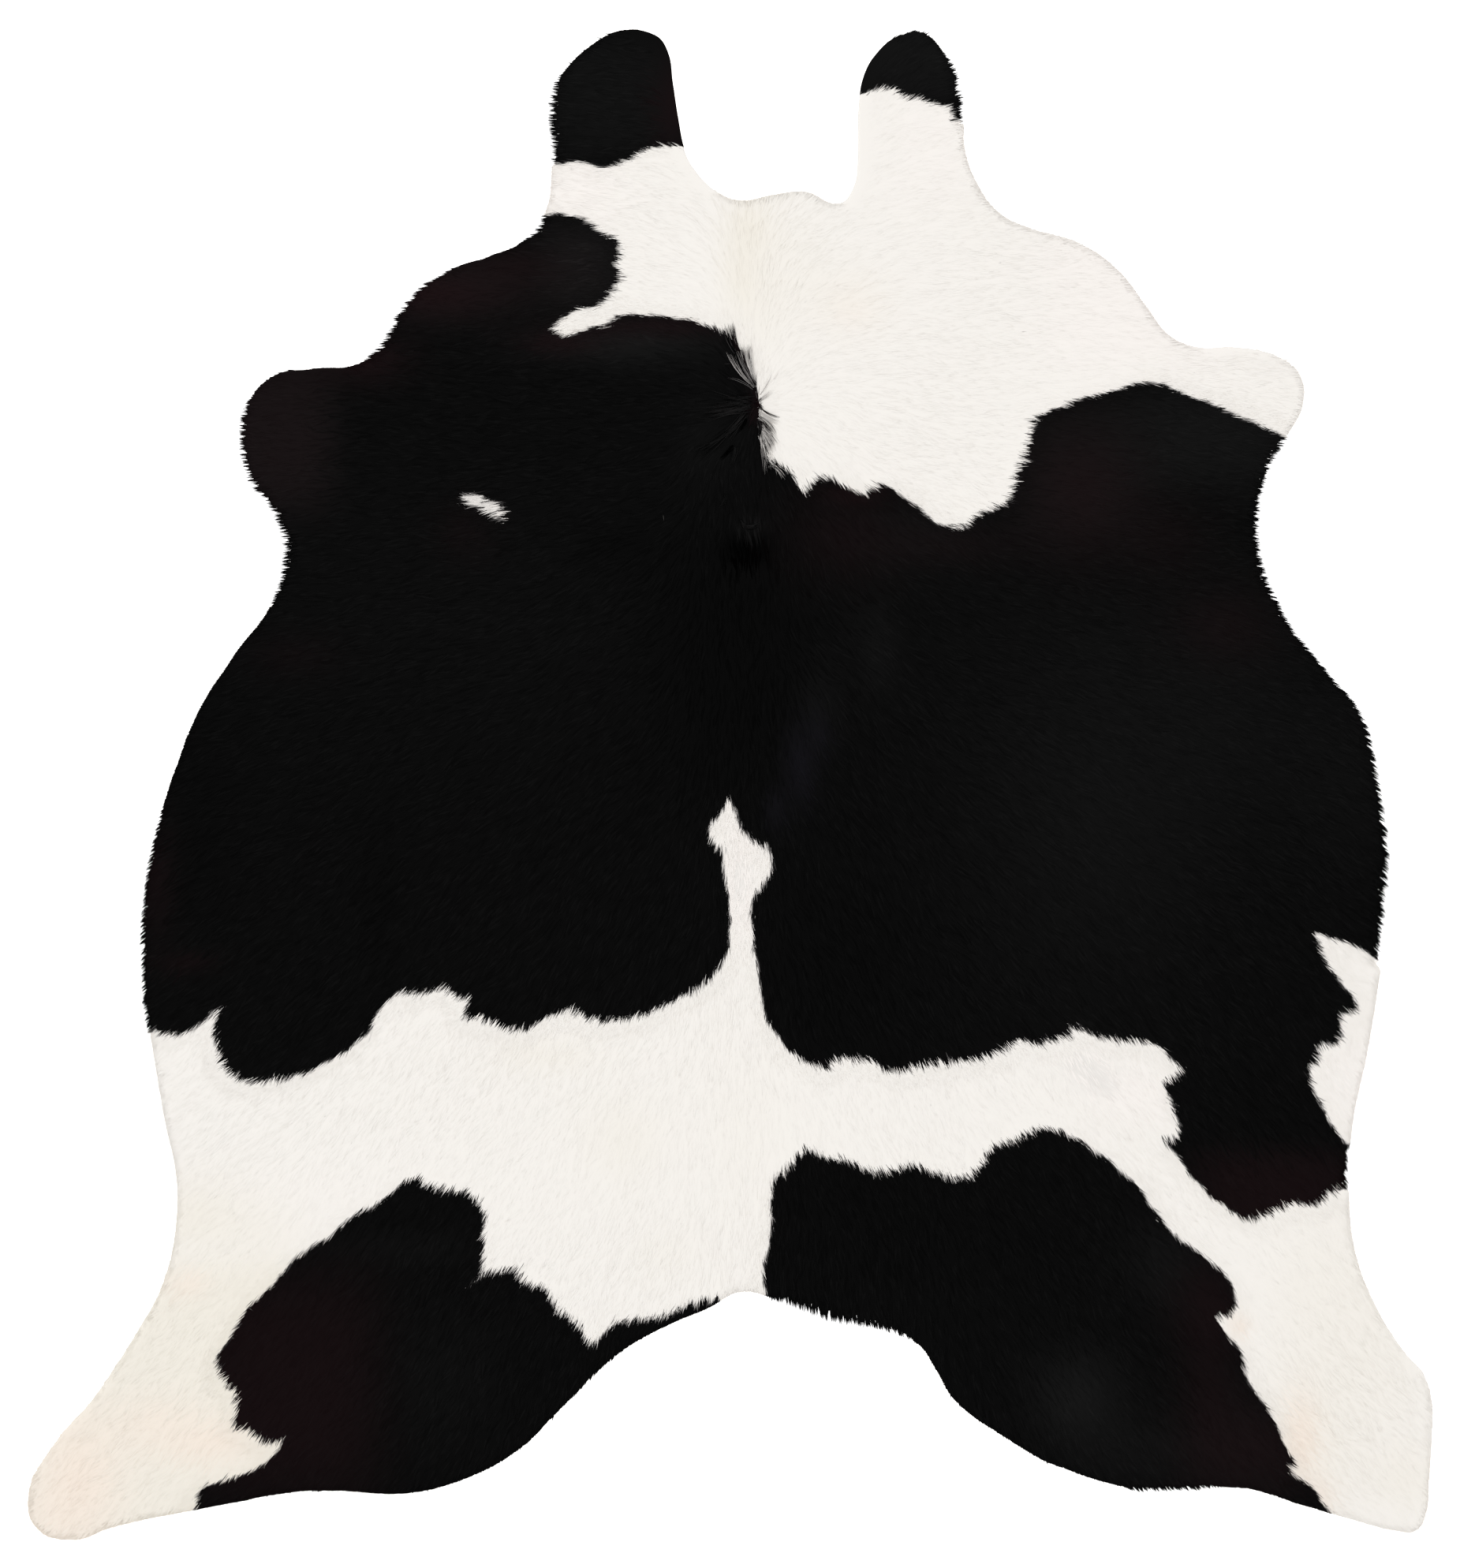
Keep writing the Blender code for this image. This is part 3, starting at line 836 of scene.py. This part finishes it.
def lockTree():
    rules = lockRules
    tree = bpy.data.node_groups.new("laid locks", "GeometryNodeTree")
    addSockets(tree, {
        "Geometry": ["Geometry"], "String": ["Where"], "Int": ["Seed"], "Object": ["Leaf"],
        "Material": ["Hair"],
        "Float": ["Density", "Length", "Width", "Thickness", "Lift", "Stray", "Overhang", "Fringe share"],
    }, "Geometry", "Geometry")
    given = tree.nodes.new("NodeGroupInput").outputs
    plus, minus, times = sums(tree)

    def field(name, kind="FLOAT"):
        node = wire(tree, "GeometryNodeInputNamedAttribute", {"Name": name}, data_type=kind)
        return node.outputs["Attribute"]

    def stored(geometry, name, value, kind, domain):
        given = {"Geometry": geometry, "Name": name, "Value": value}
        return wire(tree, "GeometryNodeStoreNamedAttribute", given, data_type=kind, domain=domain).outputs[0]

    def chosen(share, first, second):
        return wire(tree, "ShaderNodeMix", {0: share, 2: first, 3: second}, data_type="FLOAT").outputs[0]

    def dice(what):
        low, high, number = lockDice[what]
        node = wire(tree, "FunctionNodeRandomValue", data_type="FLOAT")
        node.inputs[2].default_value, node.inputs[3].default_value = low, high
        tree.links.new(plus(given["Seed"], float(number)), node.inputs["Seed"])
        return node.outputs[1]

    density = times(given["Density"], field(given["Where"]))
    roots = wire(tree, "GeometryNodeDistributePointsOnFaces",
                 {"Mesh": given["Geometry"], "Density": density, "Seed": given["Seed"]},
                 distribute_method="RANDOM").outputs["Points"]
    place = tree.nodes.new("GeometryNodeInputPosition").outputs[0]
    way = wire(tree, "ShaderNodeSeparateXYZ", {0: field("hairWay", "FLOAT_VECTOR")}).outputs
    nearRim = field("nearRim")
    curl = times(minus(noise(tree, place, rules["curlScale"], 1.0), 0.5), minus(rules["curlMost"], nearRim))
    aim = plus(maths(tree, "ARCTAN2", way[1], way[0]), curl)
    yaw = plus(aim, times(dice("stray"), given["Stray"]))
    ahead = vector(tree, maths(tree, "COSINE", aim), maths(tree, "SINE", aim))

    def tufts(places=5):
        # noise averaged over a few places along the hair, so it comes out long
        total = 0.0
        for k in range(places):
            step = (k - places // 2) * rules["tuftStep"]
            shift = wire(tree, "ShaderNodeVectorMath", {0: ahead, 3: step}, operation="SCALE").outputs[0]
            spot = wire(tree, "ShaderNodeVectorMath", {0: place, 1: shift}, operation="ADD").outputs[0]
            total = plus(total, noise(tree, spot, rules["tuftScale"], 1.0))
        return maths(tree, "DIVIDE", total, float(places))

    pitch = minus(times(dice("pitch"), given["Lift"]), times(nearRim, rules["rimDip"]))
    turn = vector(tree, y=times(pitch, -1.0), z=yaw)
    # hair hangs over the leather in thinning bunches at the fringes, and is trimmed close elsewhere
    fringe = field("fringe")
    bunch = minus(noise(tree, field("rimSpot", "FLOAT_VECTOR"), rules["bunchScale"], 1.0), 0.5)
    bunch = ranged(tree, maths(tree, "ABSOLUTE", bunch), 0.0, rules["bunchGap"])
    bold = times(times(maths(tree, "POWER", dice("bold"), rules["boldCurve"]), bunch), given["Fringe share"])
    past = times(fringe, minus(times(bold, rules["boldGain"]), 1.0))
    past = maths(tree, "MINIMUM", past, rules["fringeMost"])
    limit = plus(plus(field("hairReach"), times(given["Overhang"], dice("overhang"))), past)
    limit = maths(tree, "MAXIMUM", limit, rules["shortest"])
    free = plus(times(given["Length"], dice("length")), times(fringe, nearRim))
    length = maths(tree, "MINIMUM", free, limit)
    width = times(times(given["Width"], dice("width")), plus(times(fringe, rules["fringeWiden"]), 1.0))
    size = vector(tree, length, width, given["Thickness"])
    # black or white by the colour edge two thirds along the lock, with a few strays
    change = minus(field("aheadDepth"), field("blackDepth"))
    side = plus(field("blackDepth"), times(change, times(length, rules["colourAt"] / hideSizes["ahead"])))
    side = plus(side, dice("colourEdge"))
    along = times(maths(tree, "ABSOLUTE", change), rules["spike"] / hideSizes["ahead"])
    side = plus(side, times(minus(tufts(), 0.5), plus(along, rules["ragged"])))
    black = ranged(tree, side, -rules["halfEdge"], rules["halfEdge"])
    light = minus(dice("lightTone"), times(field("pink"), rules["pinkTone"]))
    light = minus(light, times(field("smudge"), rules["smudgeTone"]))
    # painted sheen lifts a dark lock's tone, and painted shade in the hollow lowers it
    dark = plus(times(field("grey"), rules["greySheenTone"]), dice("darkTone"))
    dark = minus(dark, times(field("hollow"), rules["hollowShadeTone"]))
    tint = vector(tree, chosen(black, field("rust"), field("brown")),
                  chosen(black, field("cream"), field("blue")))
    roots = stored(roots, "tone", chosen(black, light, dark), "FLOAT", "POINT")
    roots = stored(roots, "tint", tint, "FLOAT_VECTOR", "POINT")
    shape = wire(tree, "GeometryNodeObjectInfo", {"Object": given["Leaf"]}).outputs["Geometry"]
    laid = wire(tree, "GeometryNodeInstanceOnPoints",
                {"Points": roots, "Instance": shape, "Rotation": turn, "Scale": size}).outputs[0]
    real = wire(tree, "GeometryNodeRealizeInstances", {0: laid}).outputs[0]
    mapped = stored(real, "hairTone", vector(tree, field("tone"), field("along")), "FLOAT2", "CORNER")
    mapped = stored(mapped, "hairTint", field("tint", "FLOAT_VECTOR"), "FLOAT2", "CORNER")
    # up the map a dark lock lies by its bluish painted sheen and then brown, and a light one by cream and
    # then rust
    first, second, _ = wire(tree, "ShaderNodeSeparateXYZ", {0: field("tint", "FLOAT_VECTOR")}).outputs
    forDark = plus(times(minus(first, second), 0.5), 0.5)
    forLight = minus(1.0, times(minus(1.0, first), minus(1.0, times(second, 0.5))))
    up = chosen(maths(tree, "GREATER_THAN", field("tone"), 0.5), forDark, forLight)
    tone = maths(tree, "MAXIMUM", field("tone"), 0.0)
    spot = [plus(times(value, bakeMap["fill"]), bakeMap["rim"]) for value in (tone, up)]
    spot = vector(tree, plus(spot[0], times(field("aside"), bakeMap["halfWide"])),
                  plus(spot[1], times(field("along"), bakeMap["high"])))
    mapped = stored(mapped, bakeMap["name"], spot, "FLOAT2", "CORNER")
    clean = wire(tree, "GeometryNodeSetMaterial", {"Geometry": mapped, "Material": given["Hair"]}).outputs[0]
    out = tree.nodes.new("NodeGroupOutput")
    tree.links.new(clean, out.inputs[0])
    return tree


locks = lockTree()


def layLocks(name, sizes):
    bed = newObject(name + " bed", bedMesh)
    nodes = bed.modifiers.new("locks", "NODES")
    nodes.node_group = locks
    for item in locks.interface.items_tree:
        if item.in_out == "INPUT" and item.name in sizes:
            nodes[item.identifier] = sizes[item.name]
    bpy.context.view_layer.update()
    view = bpy.context.evaluated_depsgraph_get()
    mesh = bpy.data.meshes.new_from_object(bed.evaluated_get(view))
    mesh.name = name
    bpy.data.objects.remove(bed)
    spare = [*topData, "tone", "tint", "along", "aside"]
    for extra in [a.name for a in mesh.attributes if a.name in spare]:
        mesh.attributes.remove(mesh.attributes[extra])
    print(name + ":", len(mesh.polygons), "triangles")
    return newObject(name, mesh)


# Density is locks a square metre, and Lift is how steeply they stand, in radians
shared = {"Thickness": 0.00025, "Lift": 0.022, "Overhang": 0.0010, "Stray": 0.16, "Fringe share": 0.10,
          "Leaf": leafObject, "Hair": lockHair}
edgeHair = {"Length": 0.017, "Width": 0.0011, "Stray": 0.15, "Lift": 0.015}
# broad locks stay off the colour edges, also off the ones that lie ahead of their roots
bedPlan = {"offEdge": (0.004, 0.014), "stillOff": (0.0, 0.004), "steps": (0.5, 1.0, 1.6),
           "middle": (-0.002, 0.002)}
offEdge = smoothStep(*bedPlan["offEdge"], np.abs(depth))
for step in bedPlan["steps"]:
    depthThere = blackDepth(flat + lie * hideSizes["ahead"] * step)
    offEdge *= smoothStep(*bedPlan["stillOff"], np.sign(depth) * depthThere)
side = smoothStep(*bedPlan["middle"], flat[:, 0])
beds = {
    "whitePile": topData["whiteSide"] * offEdge, "blackPile": (1 - topData["whiteSide"]) * offEdge,
    "edgeLeft": topData["nearEdge"] * (1 - side), "edgeRight": topData["nearEdge"] * side,
    "rimHair": topData["nearRim"],
}
for name, values in beds.items():
    bed = bedMesh.attributes.new(name + "Bed", "FLOAT", "POINT")
    bed.data.foreach_set("value", values.astype(np.float32))
lockSets = {
    "white_pile": {"Where": "whitePileBed", "Density": 30000.0, "Length": 0.024, "Width": 0.0024,
                   "Lift": 0.010, "Thickness": 0.00014, "Seed": 21},
    "black_pile": {"Where": "blackPileBed", "Density": 25000.0, "Length": 0.024, "Width": 0.0026,
                   "Seed": 22},
    "patch_edge_hair_left": {"Where": "edgeLeftBed", "Density": 400000.0, **edgeHair, "Seed": 23},
    "patch_edge_hair_right": {"Where": "edgeRightBed", "Density": 380000.0, **edgeHair, "Seed": 24},
    "rim_hair": {"Where": "rimHairBed", "Density": 520000.0, "Length": 0.011, "Width": 0.0010,
                 "Stray": 0.03, "Fringe share": 1.0, "Seed": 25},
}
lockPieces = [layLocks(name, {**shared, **sizes}) for name, sizes in lockSets.items()]
bpy.data.objects.remove(leafObject)

# ---- the long strands that stand out of the whorl at the neck, and a few by the hollow below it
whorlStrands = [
    # rootX, rootY, tipX, tipY, bow, how many, spread, tone, share of black ones, brown, width
    (33, 550, -6, 599, 4, 6, 3, 0.58, 0, 0, 0.7), (33, 551, 2, 597, 3.5, 12, 6, 0.55, 0.4, 0, 0.7),
    (33, 553, 9, 602, 3, 14, 6, 0.5, 0.5, 0, 0.8), (33, 555, 15, 607, 3, 14, 6, 0.42, 0.6, 0.4, 0.9),
    (32, 558, 20, 605, 2, 12, 5, 0.6, 0.4, 0, 0.8), (33, 562, 25, 602, 2, 14, 4, 0.66, 0.2, 0, 0.9),
    (30, 575, 27, 608, 1, 10, 4, 0.72, 0.1, 0, 1), (14, 597, 2, 636, 3, 18, 6, 0.2, 0.4, 0.5, 0.9),
    (8, 598, -6, 632, 2, 12, 6, 0.36, 0.5, 0, 0.8), (31, 546.5, -5, 562.5, -4, 2, 0.6, 0.46, 0, 0, 0.8),
    (41, 539, 57, 567, -1.5, 2, 1.2, 0.59, 0, 0, 0.7), (60, 560, 68, 571, 0, 1, 0.5, 0.66, 0, 0, 0.6),
    (41, 532, 55, 543, -1, 8, 5, 0.64, 0, 0, 0.8), (42, 520, 68, 507.5, -2, 5, 1, 0.18, 0, 0.6, 0.8),
    (41, 516, 66, 501, -2, 9, 5, 0.64, 0, 0, 0.8), (40, 508, 63, 484, 3, 14, 6, 0.6, 0.15, 0, 0.8),
    (41, 504, 57, 481, 2.5, 8, 4, 0.3, 0.5, 0.3, 0.7), (41, 495, 61, 470, 3, 16, 6, 0.58, 0.25, 0, 0.8),
    (38, 500, 43, 468, 1, 10, 3, 0.14, 0, 0, 1), (39, 496, 45, 455, 1.5, 14, 3.5, 0.6, 0.4, 0, 0.8),
    (41, 482, 49, 446, 1.5, 18, 5, 0.62, 0.4, 0, 0.8), (44, 470, 54, 434, 2, 16, 5, 0.6, 0.45, 0, 0.7),
    (47, 462, 60, 437, 2, 14, 5, 0.74, 0.15, 0, 0.9), (43, 464, 48, 431, 1, 12, 4, 0.52, 0.5, 0, 0.7),
    (52, 452, 67, 433, 1.5, 14, 6, 0.66, 0.5, 0, 0.7), (58, 446, 78, 429, 1, 12, 6, 0.72, 0.5, 0, 0.7),
    (62, 440, 75, 424, 1, 8, 6, 0.6, 0.6, 0, 0.7), (34, 523, 27, 507, -1, 6, 2.5, 0.24, 0, 0.5, 0.9),
    (37, 532, 40, 517, 0.5, 10, 3, 0.06, 0, 0.6, 1), (30, 529, -18, 531, 0.5, 26, 16, 0.24, 0.2, 0, 1.2),
    (26, 521, -32, 513, 1, 28, 11, 0.26, 0.2, 0, 1.2), (20, 512, -10, 483, 2, 26, 10, 0.26, 0.2, 0, 1.2),
    (-4, 487, -45, 460, 1, 22, 10, 0.22, 0.2, 0, 1.2), (8, 467, -1, 440, 1, 12, 4, 0.22, 0.2, 0, 1.1),
    (20, 537, -2, 535, 0, 8, 2.5, 0.02, 0, 0, 1.1), (22, 506, 14, 488, 1, 8, 3, 0.04, 0, 0, 1.1),
    (4, 468, -14, 448, 0, 8, 4, 0.03, 0, 0, 1.1), (0, 582, -9, 582, 0, 2, 0.5, 0.32, 0, 0, 0.7),
    (14, 366, 24, 354, -2, 12, 4, 0.24, 0.2, 0, 1), (21, 356, 39, 360, -2, 14, 4, 0.24, 0.2, 0, 1),
    (-5, 400, -15, 382, 1, 10, 5, 0.19, 0, 0, 1), (53, 412, 55, 403, 0, 6, 3, 0.22, 0, 0, 0.9),
    (-668, -727, -662, -731, 0.5, 1, 0.3, 0.46, 0, 0, 0.7),
    (-93, 372, -92, 364, 0, 1, 0.3, 0.42, 0, 0, 0.7), (41, 491, 58, 461, 3, 18, 5, 0.6, 0.25, 0, 0.8),
    (41, 487, 54, 453, 2.5, 16, 5, 0.64, 0.3, 0, 0.8), (40, 478, 50, 440, 1.5, 12, 4, 0.56, 0.3, 0, 0.7),
    (35, 527, 45, 521, 0.5, 12, 4, 0.08, 0, 0.6, 1), (36, 529, 45, 536, -0.5, 8, 4, 0.46, 0.4, 0, 0.6),
    (38, 502, 43, 484, 1, 14, 4, 0.3, 0.4, 0, 0.9),
]
strand = {
    "steps": 6, "start": 0.0044, "arch": 0.0016, "scatter": 0.0010, "seed": 31,
    "rootSpread": 0.00028, "tipSpread": 0.00050,    # for each unit of a row's spread
    "bendVaries": (0.5, 1.5), "widthVaries": (0.8, 1.2),
    "blackTone": 0.11, "toneSpread": (-0.03, 0.03),
    "shapeAt": [0, 0.25, 0.6, 1], "shape": [0.55, 1.0, 0.75, 0.04],     # share of the width, root to tip
}


def makeWhorlHair():
    dice = np.random.default_rng(strand["seed"])
    steps = strand["steps"]
    t = np.linspace(0, 1, steps)
    wide = np.interp(t, strand["shapeAt"], strand["shape"])
    verts, faces, tones, tints, spots = [], [], [], [], []
    for rootX, rootY, tipX, tipY, bow, many, spread, tone, blackShare, brown, width in whorlStrands:
        for _ in range(many):
            root = toMetres([(rootX, rootY)])[0] + dice.normal(0, spread * strand["rootSpread"], 2)
            tip = toMetres([(tipX, tipY)])[0] + dice.normal(0, spread * strand["tipSpread"], 2)
            run = tip - root
            aside = np.array([-run[1], run[0]]) / np.linalg.norm(run)
            bend = bow * dice.uniform(*strand["bendVaries"]) / 1000
            line = root + run * t[:, None] + aside * (bend * 4 * t * (1 - t))[:, None]
            high = strand["start"] + dice.uniform(0, strand["scatter"]) + strand["arch"] * np.sin(np.pi * t)
            half = wide * width / 2000 * dice.uniform(*strand["widthVaries"])
            base = len(verts)
            for k in range(steps):
                x, y = line[k]
                verts += [(x + aside[0] * half[k], y + aside[1] * half[k], high[k]),
                          (x - aside[0] * half[k], y - aside[1] * half[k], high[k]),
                          (x, y, high[k] + half[k])]
            for k in range(steps - 1):
                a = base + 3 * k
                faces += [(a, a + 3, a + 4, a + 1), (a + 1, a + 4, a + 5, a + 2), (a + 2, a + 5, a + 3, a)]
            last = base + 3 * (steps - 1)
            faces += [(base, base + 1, base + 2), (last, last + 2, last + 1)]
            black = dice.uniform() < blackShare
            shade = strand["blackTone"] if black else tone + dice.uniform(*strand["toneSpread"])
            tones += [(shade, t[k]) for k in range(steps) for _ in range(3)]
            tint = brown if tone < 0.5 else 0.0
            tints += [(tint, 0.0)] * (3 * steps)
            up = 0.5 + tint / 2 if shade < 0.5 else 0.0
            spots += [(bakeMap["rim"] + max(shade, 0) * bakeMap["fill"] + side * bakeMap["halfWide"],
                       bakeMap["rim"] + up * bakeMap["fill"] + t[k] * bakeMap["high"])
                      for k in range(steps) for side in (1, -1, 0)]
    mesh = bpy.data.meshes.new("whorl hair")
    mesh.from_pydata(verts, [], faces)
    mesh.update()
    corners = np.zeros(len(mesh.loops), np.int32)
    mesh.loops.foreach_get("vertex_index", corners)
    for name, values in (("hairTone", tones), ("hairTint", tints), (bakeMap["name"], spots)):
        layer = mesh.uv_layers.new(name=name)
        layer.data.foreach_set("uv", np.array(values, np.float32)[corners].ravel())
    mesh.materials.append(lockHair)
    mesh.polygons.foreach_set("use_smooth", np.ones(len(mesh.polygons), bool))
    print("whorl_hair:", len(faces), "faces")
    return newObject("whorl_hair", mesh)


lockPieces.append(makeWhorlHair())
total = sum(len(o.data.polygons) for o in lockPieces) + len(hide.data.polygons)
print("faces in all:", total)

# ---- pieces and frame
for piece in [hide] + lockPieces:
    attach(piece, "root")
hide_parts("hide")

# ---- floor, light and camera
studio = {
    "floor": 30.0, "floorDrop": 0.0005, "floorColour": (0.92, 0.92, 0.92, 1), "dome": 1.04,
    "lamp": 96.0, "lampSize": 5.0, "lampPlace": (-4.3, 4.3, 7.2), "lampTilt": (-38, -32, 0),
    "lens": 200.0, "sensor": 36.0,
    "tallSide": 2.1772,     # metres that the photograph's taller side takes in, at the pile's height
    "pileHeight": 0.004,
}


def makeFloor():
    mesh = bpy.data.meshes.new("studio floor")
    half, low = studio["floor"], -studio["floorDrop"]
    mesh.from_pydata([(-half, -half, low), (half, -half, low), (half, half, low), (-half, half, low)], [],
                     [(0, 1, 2, 3)])
    floor = newObject("studio floor", mesh)
    material, tree, shader = newMaterial("studio floor")
    look = {"Base Color": studio["floorColour"], "Roughness": 1.0, "Specular IOR Level": 0.0,
            "Emission Color": (1, 1, 1, 1), "Emission Strength": 1.0}
    for name, value in look.items():
        shader.inputs[name].default_value = value
    mesh.materials.append(material)


def lightStudio():
    world = bpy.data.worlds.new("studio")
    bpy.context.scene.world = world
    world.use_nodes = True
    sky = world.node_tree.nodes["Background"]
    sky.inputs["Color"].default_value = (1, 1, 1, 1)
    sky.inputs["Strength"].default_value = studio["dome"]
    lamp = bpy.data.lights.new("soft box", "AREA")
    lamp.shape = "DISK"
    lamp.size = studio["lampSize"]
    lamp.energy = studio["lamp"]
    box = bpy.data.objects.new("soft box", lamp)
    box.location = studio["lampPlace"]
    box.rotation_euler = [math.radians(angle) for angle in studio["lampTilt"]]
    bpy.context.scene.collection.objects.link(box)


def makeCamera():
    lens = bpy.data.cameras.new("overhead")
    lens.lens = studio["lens"]
    lens.sensor_width = studio["sensor"]
    lens.clip_end = 100
    camera = bpy.data.objects.new("overhead", lens)
    away = studio["tallSide"] * studio["lens"] / studio["sensor"]
    camera.location = (0, 0, away + studio["pileHeight"])
    bpy.context.scene.collection.objects.link(camera)
    bpy.context.scene.camera = camera


makeFloor()
lightStudio()
makeCamera()
bpy.context.scene.view_settings.view_transform = "Standard"
bpy.context.scene.view_settings.look = "None"
print("studio ready")
